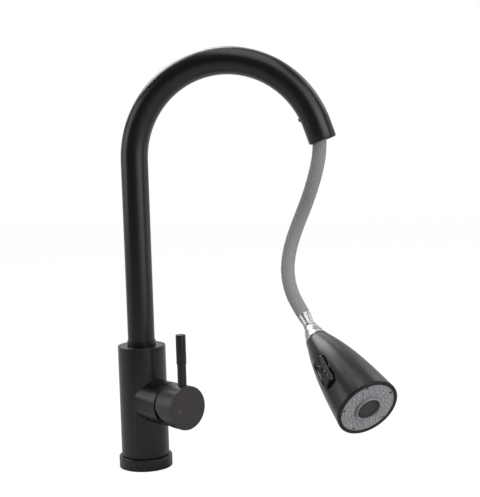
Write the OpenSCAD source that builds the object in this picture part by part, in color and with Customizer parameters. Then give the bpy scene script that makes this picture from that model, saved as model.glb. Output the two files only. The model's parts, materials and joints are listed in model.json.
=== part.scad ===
// Pull-down kitchen faucet: round body, side lever, swan-neck spout and a
// hand spray on a braided hose, shown pulled out of the spout.
// Origin: centre of the base on the deck. +Z up, +X along the spout.

/* [Body] */
// Radius of the body
body_r = 24.8; // [22:0.2:28]
// Height of the top of the body
body_top = 128.2; // [120:0.2:140]
// Radius of the base ring
ring_r = 27.75; // [27:0.25:32]
// Height of the base ring
ring_h = 12; // [8:0.5:16]

/* [Valve and lever] */
// Direction of the side valve, measured from the spout
valve_az = -33.6; // [-90:0.2:0]
// Height of the valve axis
valve_z = 72.2; // [68:0.2:76]
// Radius of the valve collar and the handle cap
valve_r = 22.4; // [22:0.1:24]
// Distance of the end of the handle cap from the body's axis
cap_end = 73; // [72:0.5:80]
// Height of the top of the lever
lever_top = 146.3; // [120:0.1:160]
// Radius of the lever's rod
lever_r = 4.5; // [4:0.1:5]

/* [Spout] */
// Radius of the spout tube
tube_r = 14; // [13:0.5:14]
// Wall of the spout tube
tube_wall = 1.2; // [1:0.1:1.5]
// Radius of the arch along the tube's middle
arch_r = 98.26; // [80:0.02:110]
// Height of the middle of the arch
arch_z = 319.4; // [280:0.2:340]
// Angle at which the arch ends, above the horizontal
arch_end = 19; // [15:1:25]
// Length of the straight end of the spout
spout_straight = 15.8; // [14:0.2:20]

/* [Hose] */
// Radius of the braided hose
hose_r = 7; // [6:0.1:7]
// Radius of the hole through the hose
hose_bore_r = 4; // [3:0.1:4.5]

/* [Spray head] */
// Length of the head, from the middle of its ball to its face
head_len = 100.5; // [95:0.5:110]
// Radius of the head at its face
face_r = 30.9; // [29:0.1:33]
// Radius of the ball that the head turns on
ball_r = 11.6; // [11:0.1:11.7]
// Wall of the head's shell
shell_wall = 2; // [1.6:0.1:2.2]
// Direction of the mode button round the head
button_az = -109; // [-180:1:180]
// Number of nozzles in the inner, middle and outer ring
nozzle_counts = [12, 18, 24];

/* [Hidden] */
$fn = 64;
eps = 0.01;

// Body and base
foot_r = 22;             // spigot of the body inside the base ring
gasket_t = 0.6;          // dark seal between the base ring and the body
passage_r = 9;           // way for the hose through the body
socket_r = 16.05;        // socket that takes the spout's bush
socket_floor = 96;
port_r = 4.5;            // M10 x 1 water ports
port_depth = 12;
duct_r = 2.8;
stud_hole_r = 3.4;       // M8 holes for the deck studs
stud_depth = 14;
port_pitch_r = 16.5;     // ports and studs stand on one circle
inlet_along = -11;       // the two inlets, in the valve's own directions
inlet_side = 12.3;
cross_duct_r = 2.5;

// Valve, distances along its axis from the body's axis
collar_end = 46;         // also where the lever's tilt pin lies
bore_floor = 12.5;
cartridge_r = 17;
nut_r = 18.4;
nut_start = 38;
dome_r = 19.2;
dome_wall = 1.6;
dome_hole_r = 15.2;
cap_start = 47.8;
cap_wall = 2.5;
cap_slope = 0.61;        // the cap's lower rear edge recedes, so that it can tilt
lever_along = 65;
stem_r = 4;
cap_boss_r = 7.3;             // the cap's middle boss, which holds the stem
pin_r = 1.5;

// Spout
tube_in = tube_r - tube_wall;
tube_foot = 100.5;
bush_top = 133.4;
end_dir = [sin(arch_end), 0, -cos(arch_end)];
arch_stop = [arch_r + arch_r * cos(arch_end), 0, arch_z + arch_r * sin(arch_end)];
spout_end = arch_stop + spout_straight * end_dir;
end_tilt = 180 - arch_end;       // turns +Z into the direction of the spout's end
hose_leave = 20;                 // angle on the arch where the free hose starts
guide_len = 13.6;                // shorter than the straight end
dock_back = 26;                  // the dock screw's distance back from the spout's end
dock_angle = arch_end + (dock_back - spout_straight) / (arch_r - tube_r) * 180 / PI;
dock_r = 2;
hose_start_z = 10.05;

// Ball joint: middle, hose direction and head direction
ball_c = [193.8, -37.4, 142.7];
hose_az = -51;
hose_tilt = 127.8;
head_az = -48.7;
head_tilt = 119.4;
collar_back = 18.35;
ferrule_front = 20.9;
ferrule_back = 34;
ferrule_r = [6.9, 5.6];        // at the hose, and at the ball joint
ferrule_bore = 8;             // depth of the bore that takes the hose's end
neck_back = 8;
neck_r = 5.6;

hose_dir = [sin(hose_tilt) * cos(hose_az), sin(hose_tilt) * sin(hose_az), cos(hose_tilt)];

// Middle line of the free hose, from inside the spout's end to the ferrule
hose_route = [
    [arch_r + arch_r * cos(hose_leave), 0, arch_z + arch_r * sin(hose_leave)],
    [192.3, 0.1, 344], [193.1, 0.4, 335.5], [192.7, 1.1, 327], [191.5, 2, 318.5],
    [189.3, 3.5, 309.4], [185.7, 6.4, 298], [181, 10.8, 285.9], [175.5, 15.6, 273.6],
    [169.8, 18.8, 261.3], [164.5, 19.9, 249], [160, 19.1, 236.8], [156.9, 16.6, 224.7],
    [155.6, 13.1, 213.4], [155.9, 9.3, 203.8], [157.6, 5.4, 195], [160.4, 1.4, 187.1],
    [163.9, -2.6, 180.3], [168.7, -7.3, 173.4], ball_c - ferrule_back * hose_dir];
hose_sides = 12;

// Spray head
mouth_r = 11.9;
rim_depth = 2.2;
plate_r = 27.4;
plate_back = 3.7;
plate_recess = 0.6;
aerator_r = 12.75;
aerator_in = 10.2;
aerator_proud = 2.1;
nozzle_ring_r = [16, 19.4, 22.7];
nozzle_hole_r = 0.95;
nozzle_r = 0.75;
key_slots = 5;
key_slot_r = 25.3;
key_slot_az = -18.3;

// Mode button, in its own frame on the shell: x to the face, z out of the shell
button_back = 47.5;      // middle of the button, measured back from the face
button_len = 38.4;
button_w = 15;
button_gap = 0.9;
button_side_gap = 0.45;
bezel_wall = 0.8;
bezel_len = button_len + 2 * (button_gap + bezel_wall);
bezel_w = button_w + 2 * (button_side_gap + bezel_wall);
button_pivot_z = -1.8;
button_lean = -3.5;      // it rests with its end near the face standing out
button_top = 5;          // heights over the pivot: of its ends, and of the dip between them
button_dip = 3.4;
button_nose = 1.6;       // its end near the face slopes away above this height
button_pin_r = 1.2;
lug_depth = 5.9;            // the button's lug reaches between the spool's two middle lands
lug_half = 2.1;
spool_z = -9.6;
spool_r = 2.6;
diverter_r = 5.1;
diverter_half = 14;

// Outer radius of the head, b back from its face
function shell_r(b) = face_r - 0.1063 * b - 0.0000084 * b * b * b;
shell_slope = atan((shell_r(button_back - 10) - shell_r(button_back + 10)) / 20);

module valve_frame() translate([0, 0, valve_z]) rotate([0, 0, valve_az]) rotate([0, 90, 0]) children();
module spout_end_frame() translate(spout_end) rotate([0, end_tilt, 0]) children();
module hose_frame() translate(ball_c) rotate([0, 0, hose_az]) rotate([0, hose_tilt, 0]) children();
module head_frame() translate(ball_c) rotate([0, 0, head_az]) rotate([0, head_tilt, 0]) children();
module button_frame()
    head_frame() rotate([0, 0, button_az]) translate([shell_r(button_back), 0, head_len - button_back])
        rotate([0, shell_slope, 0]) rotate([0, 90, 0]) rotate([0, 0, 180]) children();

// A tube from z0 to z1
module ring(r_out, r_in, z0, z1)
    difference() {
        translate([0, 0, z0]) cylinder(r = r_out, h = z1 - z0);
        translate([0, 0, z0 - 1]) cylinder(r = r_in, h = z1 - z0 + 2);
    }

// A disc from z0 to z1 with a rounded upper edge
module rounded_disc(r, z0, z1, edge)
    rotate_extrude() union() {
        translate([0, z0]) square([r - edge, z1 - z0]);
        translate([0, z0]) square([r, z1 - z0 - edge]);
        translate([r - edge, z1 - edge]) intersection() {
            circle(r = edge, $fn = 32);
            square([edge, edge]);
        }
    }

module o_ring(r, wire) rotate_extrude() translate([r, 0]) circle(r = wire, $fn = 24);

module base_ring()
    color("#26262a") difference() {
        rounded_disc(ring_r, 0, ring_h, 1);
        translate([0, 0, -1]) cylinder(r = foot_r + 0.2, h = ring_h + 2);
        difference() {
            translate([0, 0, -1]) cylinder(r = 26.2, h = 2.7);
            translate([0, 0, -2]) cylinder(r = 24.2, h = 4.7);
        }
    }

module base_seal() color("#111111") ring(26.1, 24.3, 0, 1.65);

module body_gasket() color("#0c0c0c") ring(body_r - 0.5, foot_r + 0.05, ring_h, ring_h + gasket_t);

module at_studs() for (side = [-1, 1]) translate([0, side * port_pitch_r, 0]) children();
module at_inlets() for (side = [-1, 1]) translate([inlet_along, side * inlet_side, 0]) children();

module port(top) {
    translate([0, 0, -1]) cylinder(r = port_r, h = port_depth + 1);
    cylinder(r = duct_r, h = top);
}

module body()
    color("#2b2b30") difference() {
        union() {
            rounded_disc(body_r, ring_h + gasket_t, body_top, 0.8);
            cylinder(r = foot_r, h = ring_h + gasket_t + 1);
            valve_frame() cylinder(r = valve_r, h = collar_end);
        }
        translate([0, 0, -1]) cylinder(r = passage_r, h = body_top + 2);
        translate([0, 0, socket_floor]) cylinder(r = socket_r, h = body_top);
        rotate([0, 0, valve_az]) {
            at_studs() translate([0, 0, -1]) cylinder(r = stud_hole_r, h = stud_depth + 1);
            at_inlets() port(valve_z + 2 * cross_duct_r);
            translate([port_pitch_r, 0, 0]) port(valve_z - cartridge_r + 2);
        }
        valve_frame() {
            translate([0, 0, bore_floor]) cylinder(r = cartridge_r + 0.05, h = collar_end);
            translate([0, 0, nut_start]) cylinder(r = nut_r + 0.1, h = collar_end);
            translate([0, 0, collar_end - 2]) cylinder(r = dome_r + 0.1, h = collar_end);
            for (side = [-1, 1]) translate([0, side * inlet_side, inlet_along])
                cylinder(r = cross_duct_r, h = bore_floor - inlet_along + 1);
        }
        grub_screw_place() cylinder(r = 2.05, h = body_r);
    }

module grub_screw_place() rotate([0, 0, 180]) translate([0, 0, 112]) rotate([0, 90, 0])
    translate([0, 0, socket_r - 0.5]) children();

module spout_grub_screw()
    color("#333333") grub_screw_place() difference() {
        translate([0, 0, 0.6]) cylinder(r = 2, h = 7.2);
        translate([0, 0, 5.8]) cylinder(r = 1.05, h = 3, $fn = 6);
    }

module thrust_washer() color("#e8e6e0") ring(15.8, 9.5, socket_floor, socket_floor + 1);

module spout_bush()
    color("#0a0a0c") difference() {
        union() {
            translate([0, 0, tube_foot]) cylinder(r = socket_r - 0.05, h = body_top - tube_foot);
            rounded_disc(tube_r + 0.75, body_top - 1, bush_top, 0.35);
        }
        translate([0, 0, tube_foot - 1]) cylinder(r = tube_r + 0.06, h = bush_top);
    }

module cartridge_body()
    color("#d9d9d4") valve_frame() difference() {
        translate([0, 0, bore_floor + 0.2]) cylinder(r = cartridge_r, h = nut_start - bore_floor - 0.2);
        translate([0, 0, 30]) cylinder(r = 12, h = 20);
        for (side = [-1, 1]) translate([0, side * inlet_side, 0]) {
            cylinder(r = cross_duct_r, h = 24);
            cylinder(r = 3.7, h = bore_floor + 1.2);
        }
        translate([9, 0, 0]) cylinder(r = 3, h = 24);
        translate([9, 0, 20]) rotate([0, 90, 0]) cylinder(r = 3, h = 12);
    }

module cartridge_seals()
    color("#1c1c1c") valve_frame() for (side = [-1, 1]) translate([0, side * inlet_side, 0])
        ring(3.6, 2.6, bore_floor, bore_floor + 1.1);

module cartridge_nut()
    color("#b8964a") valve_frame() difference() {
        ring(nut_r, 13.2, nut_start + 0.05, collar_end - 0.2);
        for (a = [0 : 60 : 300]) rotate([0, 0, a]) translate([nut_r - 2.6, 0, collar_end - 3])
            cylinder(r = 1.4, h = 4);
    }

module valve_dome()
    color("#1a1a1d") valve_frame() {
        ring(dome_r + 0.05, nut_r + 0.05, collar_end - 1.9, collar_end + 0.3);
        intersection() {
            translate([0, 0, collar_end]) difference() {
                sphere(r = dome_r);
                sphere(r = dome_r - dome_wall);
            }
            ring(dome_r + 5, dome_hole_r, collar_end + 0.3, collar_end + dome_r);
        }
    }

module cartridge_rotor()
    color("#c8c8c4") valve_frame() difference() {
        union() {
            translate([0, 0, 30.3]) cylinder(r = 11.7, h = 9);
            for (side = [-1, 1]) translate([-4, side * 6.4 - 1.4, 39]) cube([8, 2.8, 10]);
        }
        translate([-7, -2.8, 33]) cube([14, 5.6, 10]);
        translate([0, 12, collar_end]) rotate([90, 0, 0]) cylinder(r = pin_r + 0.02, h = 24);
    }

module stem_pin()
    color("#9a9a9a") valve_frame() translate([0, 7.7, collar_end]) rotate([90, 0, 0])
        cylinder(r = pin_r, h = 15.4);

module cartridge_stem()
    color("#b8964a") valve_frame() difference() {
        union() {
            translate([0, 0, 35]) cylinder(r = 2.4, h = 12);
            translate([0, 0, 41]) cylinder(r = stem_r, h = 26.5);
        }
        translate([0, 12, collar_end]) rotate([90, 0, 0]) cylinder(r = pin_r + 0.05, h = 24);
    }

module handle_cap()
    color("#3d3a3f") valve_frame() difference() {
        union() {
            difference() {
                rounded_disc(valve_r, cap_start, cap_end, 0.8);
                translate([0, 0, cap_start - 1])
                    cylinder(r = valve_r - cap_wall, h = cap_end - cap_wall - cap_start + 1);
            }
            translate([0, 0, 58]) cylinder(r = cap_boss_r, h = cap_end - 59);
            difference() {
                intersection() {
                    translate([0, 0, lever_along]) rotate([0, -90, 0]) cylinder(r = lever_r + 2, h = valve_r);
                    translate([0, 0, 58]) cylinder(r = valve_r - 1, h = 14);
                }
                translate([0, 0, collar_end]) sphere(r = dome_r + 0.5);
            }
        }
        translate([0, 0, 50]) cylinder(r = stem_r + 0.05, h = 18);
        translate([0, 0, lever_along]) rotate([0, -90, 0]) translate([0, 0, 7])
            cylinder(r = lever_r + 0.03, h = valve_r);
        translate([0, 0, lever_along]) rotate([0, 90, 0]) cylinder(r = 2.55, h = valve_r + 5);
        translate([1.5, -10.9, cap_end - 0.8]) cylinder(r = 1.02, h = 2, $fn = 32);
        rotate([90, 0, 0]) translate([0, 0, -40]) linear_extrude(80)
            polygon([[0, cap_start - 1], [0, cap_start], [30, cap_start + 30 * cap_slope], [30, cap_start - 1]]);
    }

module lever_rod()
    color("#3a383c") valve_frame() translate([0, 0, lever_along]) rotate([0, -90, 0])
        translate([0, 0, 7.1]) cylinder(r = lever_r, h = lever_top - valve_z - 10.1);

module lever_grip()
    color("#3a383c") translate([0, 0, valve_z]) rotate([0, 0, valve_az]) translate([lever_along, 0, -valve_z])
        difference() {
            rounded_disc(lever_r + 0.55, lever_top - 30, lever_top, 1.2);
            translate([0, 0, lever_top - 31]) cylinder(r = lever_r + 0.03, h = 28.1);
        }

module handle_set_screw()
    color("#333333") valve_frame() translate([0, 0, lever_along]) rotate([0, 90, 0]) difference() {
        translate([0, 0, stem_r + 0.1]) cylinder(r = 2.5, h = 3.5);
        translate([0, 0, stem_r + 1.8]) cylinder(r = 1.3, h = 4, $fn = 6);
    }

module index_plug()
    color("#b03a3a") valve_frame() translate([1.5, -10.9, cap_end - 0.75]) cylinder(r = 1, h = 0.85, $fn = 32);

// A pipe up the spout's line: its riser, its arch down to the angle stop, and a straight end
module bent_pipe(r_out, r_in, foot_z, stop, reach)
    translate([arch_r, 0, arch_z]) rotate([90, 0, 0]) rotate([0, 0, stop]) {
        rotate_extrude(angle = 180 - stop) translate([arch_r, 0]) difference() {
            circle(r = r_out);
            circle(r = r_in);
        }
        rotate([0, 0, 180 - stop]) translate([arch_r, 0, 0]) rotate([-90, 0, 0])
            ring(r_out, r_in, 0, arch_z - foot_z);
        if (reach > 0) translate([arch_r, 0, 0]) rotate([90, 0, 0]) ring(r_out, r_in, 0, reach);
    }

module spout_tube()
    color("#25252a") difference() {
        bent_pipe(tube_r, tube_in, tube_foot, arch_end, spout_straight);
        dock_frame() translate([0, 0, -tube_wall - 2]) cylinder(r = dock_r + 0.02, h = tube_wall + 4);
    }

module spout_tail()
    color("#b8964a") difference() {
        union() {
            translate([0, 0, socket_floor + 1.05]) cylinder(r = 15.7, h = tube_foot - socket_floor - 1.1);
            translate([0, 0, tube_foot - 1]) cylinder(r = tube_in - 0.1, h = 24);
        }
        translate([0, 0, socket_floor]) cylinder(r = hose_r + 1, h = 40);
        for (z = [106, 114]) translate([0, 0, z]) ring(tube_in, 11.4, -1, 1);
    }

module tail_rings()
    color("#141414") for (z = [106, 114]) translate([0, 0, z]) o_ring(12.08, 0.66);

module end_guide()
    color("#17171a") spout_end_frame() difference() {
        union() {
            translate([0, 0, -guide_len]) cylinder(r = tube_in - 0.05, h = guide_len + 0.05);
            rounded_disc(tube_in + 0.6, 0.05, 1, 0.5);
        }
        translate([0, 0, -23]) cylinder(r = hose_r + 3.7, h = 30);
        translate([0, 0, -2]) cylinder(r1 = hose_r + 3.6, r2 = hose_r + 4.9, h = 3.2);
    }

// On the inner side of the arch, z out of the tube
module dock_frame()
    translate([arch_r, 0, arch_z]) rotate([0, -dock_angle, 0]) translate([arch_r - tube_r, 0, 0])
        rotate([0, -90, 0]) children();

module dock_screw()
    color("#1d1d20") dock_frame() {
        translate([0, 0, -tube_wall]) cylinder(r = dock_r, h = tube_wall + 0.8, $fn = 32);
        intersection() {
            translate([0, 0, 0.8]) cylinder(r = dock_r, h = 0.6, $fn = 32);
            translate([0, 0, -2.2]) sphere(r = 3.6, $fn = 32);
        }
    }

module inner_hose() color("#7c7c7c") bent_pipe(hose_r, hose_bore_r, hose_start_z, hose_leave, 0);

module hose_coupling()
    color("#c9c9cc") difference() {
        translate([0, 0, 0.8]) cylinder(r = 8.4, h = 19.2);
        cylinder(r = 5.6, h = 9);
        translate([0, 0, -1]) cylinder(r = hose_bore_r, h = 30);
        translate([0, 0, hose_start_z - 0.05]) cylinder(r = hose_r + 0.05, h = 20);
    }

// The tube along the route: a closed sweep with a ring of points at each route point
function unit(v) = v / norm(v);
function route_dir(i) = let (n = len(hose_route) - 1)
    i == 0 ? [sin(hose_leave), 0, -cos(hose_leave)] : i == n ? hose_dir :
    unit(hose_route[min(i + 1, n)] - hose_route[i - 1]);
function ring_point(i, k) = let (t = route_dir(i), side = [0, 1, 0], a = unit(cross(side, t)), b = cross(t, a))
    hose_route[i] + hose_r * (cos(360 * k / hose_sides) * a + sin(360 * k / hose_sides) * b);

module hose() {
    rings = len(hose_route);
    points = [for (i = [0 : rings - 1], k = [0 : hose_sides - 1]) ring_point(i, k)];
    sides = [for (i = [0 : rings - 2], k = [0 : hose_sides - 1]) let (n = (k + 1) % hose_sides)
        [i * hose_sides + k, i * hose_sides + n, (i + 1) * hose_sides + n, (i + 1) * hose_sides + k]];
    first = [for (k = [hose_sides - 1 : -1 : 0]) k];
    last = [for (k = [0 : hose_sides - 1]) (rings - 1) * hose_sides + k];
    color("#7c7c7c") polyhedron(points, concat(sides, [first, last]), convexity = 6);
}

module hose_ferrule()
    color("#d4d4d8") hose_frame() difference() {
        rotate_extrude() polygon([[0, -ferrule_back], [ferrule_r[0], -ferrule_back],
            [ferrule_r[0], -ferrule_back + 3], [ferrule_r[1], -ferrule_front], [0, -ferrule_front]]);
        translate([0, 0, -ferrule_back - 1]) cylinder(r = 4.6, h = ferrule_bore + 1);
        translate([0, 0, -ferrule_back]) cylinder(r = 2.42, h = 30);
    }

module hose_tail()
    color("#202020") hose_frame() ring(4.55, 2.5, -ferrule_back + 0.1, -ferrule_back + ferrule_bore - 0.2);

module hose_nipple() color("#b8964a") hose_frame() ring(2.4, 1.7, -ferrule_back + 3, -10);

module swivel_ball()
    color("#d8d8dc") hose_frame() difference() {
        union() {
            intersection() {
                sphere(r = ball_r);
                translate([0, 0, -ball_r]) cylinder(r = ball_r + 1, h = ball_r + 6.5);
            }
            translate([0, 0, -collar_back]) cylinder(r1 = neck_r, r2 = sqrt(ball_r * ball_r - neck_back * neck_back),
                h = collar_back - neck_back);
        }
        translate([0, 0, -collar_back - 1]) cylinder(r = 2.45, h = 10);
        translate([0, 0, -collar_back - 1]) cylinder(r = 2, h = 40);
    }

module swivel_collar()
    color("#c6c6ca") hose_frame() difference() {
        rotate_extrude() polygon([[2.7, -20.65], [5.7, -20.65], [6.3, -20.1], [6.3, -19], [5.7, -18.4], [2.7, -18.4]]);
        translate([0, 0, -30]) cylinder(r = 2.7, h = 30);
    }

module swivel_seat()
    color("#e4e2dc") head_frame() difference() {
        translate([0, 0, 5.6]) cylinder(r = 11.8, h = 3.4);
        sphere(r = ball_r + 0.3);
    }

// Half outline of the shell, from the mouth to the rim, w inside the outer face
function shell_line(w) = [for (i = [0 : 16]) let (b = head_len - (head_len - rim_depth) * i / 16)
    [max(shell_r(b) - w, mouth_r), head_len - b]];

module head_solid(w) rotate_extrude($fn = 96)
    polygon(concat([[0, 0]], shell_line(w), [[0, head_len - rim_depth]]));

module stadium(length, width, z0, z1, corner) translate([0, 0, z0]) linear_extrude(z1 - z0)
    hull() for (x = [-1, 1], y = [-1, 1])
        translate([x * (length / 2 - corner), y * (width / 2 - corner)]) circle(r = corner, $fn = 32);

module head_shell()
    color("#4a464b") difference() {
        head_frame() head_solid(0);
        head_frame() translate([0, 0, -eps]) head_solid(shell_wall);
        head_frame() translate([0, 0, -1]) cylinder(r = mouth_r, h = 6);
        head_frame() translate([0, 0, head_len - rim_depth - 1]) cylinder(r = shell_r(rim_depth) - shell_wall, h = 2);
        button_frame() stadium(bezel_len + 0.1, bezel_w + 0.1, -8, 8, 7.05);
    }

module head_core()
    color("#2f3033") difference() {
        head_core_blank();
        button_frame() translate([-diverter_half - 0.02, 0, spool_z]) rotate([0, 90, 0])
            cylinder(r = diverter_r + 0.02, h = 2 * diverter_half + 0.04);
    }

module head_core_blank()
    head_frame() difference() {
        rotate_extrude() polygon([[0, 12], [9, 12], [9, 67], [24.4, 81], [24.4, 91], [0, 91]]);
        translate([0, 0, 11]) cylinder(r = 6.6, h = 15);
        cylinder(r = 4, h = 69);
        rotate_extrude() polygon([[0, 68], [6, 68], [22.4, 83], [22.4, 92], [0, 92]]);
    }

module check_valve()
    color("#3f7fb0") head_frame() difference() {
        translate([0, 0, 12.5]) cylinder(r = 6.5, h = 12.5);
        translate([0, 0, 12]) cylinder(r = 3.6, h = 8);
        for (a = [0 : 90 : 270]) rotate([0, 0, a]) translate([2.4, 0, 12]) cylinder(r = 0.9, h = 15);
    }

module diverter_body()
    color("#dedcd6") button_frame() translate([0, 0, spool_z]) difference() {
        translate([-diverter_half, 0, 0]) rotate([0, 90, 0]) cylinder(r = diverter_r, h = 2 * diverter_half);
        translate([-15, 0, 0]) rotate([0, 90, 0]) cylinder(r = 3.9, h = 30);
        translate([-7, -2.2, 0]) cube([14, 4.4, 8]);
    }

module diverter_spool()
    color("#c8963c") button_frame() translate([0, 0, spool_z]) rotate([0, 90, 0]) {
        translate([0, 0, -11]) cylinder(r = spool_r - 0.9, h = 22);
        for (x = [-11, -5.2, 2.4, 8.2]) translate([0, 0, x]) cylinder(r = 3.6, h = 2.8);
    }

module button_bezel()
    color("#09090a") button_frame() difference() {
        stadium(bezel_len, bezel_w, -4.2, 0.5, 7);
        stadium(button_len + 2 * button_gap, button_w + 2 * button_side_gap, -6, 3, 6.2);
        translate([0, 12, button_pivot_z]) rotate([90, 0, 0]) cylinder(r = button_pin_r + 0.02, h = 24);
    }

module button_pin()
    color("#9a9a9a") button_frame() translate([0, bezel_w / 2 - 0.1, button_pivot_z]) rotate([90, 0, 0])
        cylinder(r = button_pin_r, h = bezel_w - 0.2);

module mode_button()
    color("#0d0d0f") button_frame() difference() {
        union() {
            translate([0, 0, button_pivot_z]) rotate([0, button_lean, 0]) difference() {
                stadium(button_len, button_w, -1.7, button_top, 5.4);
                translate([0, 0, button_dip + 60]) rotate([90, 0, 0]) cylinder(r = 60, h = 40, center = true);
                translate([button_len / 2, -20, button_nose]) rotate([0, -45, 0]) translate([0, 0, -10])
                    cube([20, 40, 30]);
            }
            translate([-lug_half, -1.8, button_pivot_z - lug_depth]) cube([2 * lug_half, 3.6, lug_depth - 1.2]);
        }
        translate([0, 12, button_pivot_z]) rotate([90, 0, 0]) cylinder(r = button_pin_r + 0.06, h = 24);
    }

module face_rim()
    color("#0b0b0d") head_frame() difference() {
        rounded_disc(face_r, head_len - rim_depth + 0.02, head_len, 0.9);
        cylinder(r = plate_r + 0.1, h = head_len + 1);
    }

module at_nozzles() for (row = [0 : len(nozzle_counts) - 1], k = [0 : nozzle_counts[row] - 1])
    rotate([0, 0, (k + row / 3) * 360 / nozzle_counts[row]]) translate([nozzle_ring_r[row], 0, 0]) children();

module face_plate()
    color("#7f7c86") head_frame() difference() {
        translate([0, 0, head_len - plate_back]) cylinder(r = plate_r, h = plate_back - plate_recess);
        cylinder(r = aerator_r + 0.1, h = head_len + 1);
        at_nozzles() translate([0, 0, head_len - plate_back - 1]) cylinder(r = nozzle_hole_r, h = 8, $fn = 16);
        for (k = [0 : key_slots - 1]) rotate([0, 0, key_slot_az + k * 360 / key_slots])
            translate([key_slot_r, 0, head_len - plate_back - 1]) cylinder(r = 0.85, h = 8, $fn = 24);
    }

module nozzle_mat()
    color("#9b99a2") head_frame() {
        ring(26.3, 13, head_len - plate_back - 2, head_len - plate_back - 0.1);
        at_nozzles() translate([0, 0, head_len - plate_back - 0.5]) cylinder(r = nozzle_r, h = plate_back + 0.3, $fn = 16);
    }

module aerator_ring()
    color("#85828c") head_frame() difference() {
        rounded_disc(aerator_r, head_len - 9, head_len + aerator_proud, 0.7);
        cylinder(r = aerator_in, h = head_len + 5);
    }

module aerator_mesh()
    color("#4b4a4d") head_frame() {
        translate([0, 0, head_len - 8]) cylinder(r = aerator_in - 0.1, h = 8);
        for (r = [2 : 2 : 8]) ring(r + 0.3, r - 0.3, head_len - 0.01, head_len + 0.8);
        for (a = [0 : 45 : 135]) rotate([0, 0, a]) translate([-9.5, -0.3, head_len - 0.01]) cube([19, 0.6, 0.8]);
    }

base_ring();
base_seal();
body();
body_gasket();
thrust_washer();
spout_bush();
spout_grub_screw();
cartridge_body();
cartridge_seals();
cartridge_nut();
valve_dome();
cartridge_rotor();
stem_pin();
cartridge_stem();
handle_cap();
lever_rod();
lever_grip();
handle_set_screw();
index_plug();
spout_tube();
spout_tail();
tail_rings();
end_guide();
dock_screw();
inner_hose();
hose_coupling();
hose();
hose_ferrule();
hose_tail();
hose_nipple();
swivel_ball();
swivel_collar();
swivel_seat();
head_shell();
head_core();
check_valve();
diverter_body();
diverter_spool();
button_bezel();
button_pin();
mode_button();
face_rim();
face_plate();
nozzle_mat();
aerator_ring();
aerator_mesh();
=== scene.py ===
import json
import math

import bmesh
import bpy
import numpy as np
from mathutils import Matrix, Vector


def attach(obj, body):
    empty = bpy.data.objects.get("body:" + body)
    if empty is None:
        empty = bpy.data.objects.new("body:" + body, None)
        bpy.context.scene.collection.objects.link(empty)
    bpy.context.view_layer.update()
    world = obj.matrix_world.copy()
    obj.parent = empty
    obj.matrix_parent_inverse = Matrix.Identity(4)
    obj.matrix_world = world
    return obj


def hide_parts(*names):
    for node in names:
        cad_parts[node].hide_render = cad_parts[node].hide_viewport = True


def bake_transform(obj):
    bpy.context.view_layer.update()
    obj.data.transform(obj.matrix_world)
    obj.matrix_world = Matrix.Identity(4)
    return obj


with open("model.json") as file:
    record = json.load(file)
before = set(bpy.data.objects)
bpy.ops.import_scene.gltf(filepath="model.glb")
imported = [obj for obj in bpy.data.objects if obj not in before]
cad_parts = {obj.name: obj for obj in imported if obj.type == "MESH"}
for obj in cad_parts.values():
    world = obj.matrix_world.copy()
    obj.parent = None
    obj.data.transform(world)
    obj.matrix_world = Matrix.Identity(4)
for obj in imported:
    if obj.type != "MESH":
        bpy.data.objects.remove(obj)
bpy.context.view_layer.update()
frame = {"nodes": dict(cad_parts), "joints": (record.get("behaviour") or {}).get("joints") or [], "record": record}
mm = 0.001
joints = {joint["name"]: joint for joint in frame["joints"]}


# small helpers for points, frames and outlines, all in millimetres until a mesh is made

def frameOf(place, z, y):
    zAxis = Vector(z).normalized()
    yAxis = Vector(y).normalized()
    xAxis = yAxis.cross(zAxis).normalized()
    yAxis = zAxis.cross(xAxis)
    return Matrix.Translation(Vector(place)) @ Matrix((xAxis, yAxis, zAxis)).transposed().to_4x4()


def arcPoints(centre, radius, start, stop, steps):
    angles = [math.radians(start + (stop - start) * k / steps) for k in range(steps + 1)]
    return [(centre[0] + radius * math.cos(a), centre[1] + radius * math.sin(a)) for a in angles]


def rounded(points, radii, steps=6):  # an outline with its corners rounded, each by its own radius
    out = []
    for k, (point, radius) in enumerate(zip(points, radii)):
        here = Vector(point)
        if radius <= 0 or k in (0, len(points) - 1):
            out.append(tuple(here))
            continue
        before = Vector(points[k - 1]) - here
        after = Vector(points[k + 1]) - here
        radius = min(radius, 0.48 * before.length, 0.48 * after.length)
        first, last = here + before.normalized() * radius, here + after.normalized() * radius
        for step in range(steps + 1):
            t = step / steps
            out.append(tuple((1 - t) ** 2 * first + 2 * t * (1 - t) * here + t ** 2 * last))
    return out


def stadiumLoop(length, width, corner, count):  # points round a rectangle with round corners
    halfL, halfW = length / 2 - corner, width / 2 - corner
    sides = [2 * halfW, 2 * halfL, 2 * halfW, 2 * halfL]
    quarter = math.pi * corner / 2
    total = sum(sides) + 4 * quarter
    corners = [(halfL, halfW), (-halfL, halfW), (-halfL, -halfW), (halfL, -halfW)]
    starts = [(halfL + corner, -halfW), (halfL, halfW + corner),
              (-halfL - corner, halfW), (-halfL, -halfW - corner)]
    along = [(0, 1), (-1, 0), (0, -1), (1, 0)]
    points = []
    for k in range(count):
        s = total * k / count
        for side in range(4):
            if s <= sides[side]:
                points.append((starts[side][0] + along[side][0] * s, starts[side][1] + along[side][1] * s))
                break
            s -= sides[side]
            if s <= quarter:
                x, y = corners[side]
                a = math.pi / 2 * side + s / corner
                points.append((x + corner * math.cos(a), y + corner * math.sin(a)))
                break
            s -= quarter
    return points


# making meshes

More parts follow.
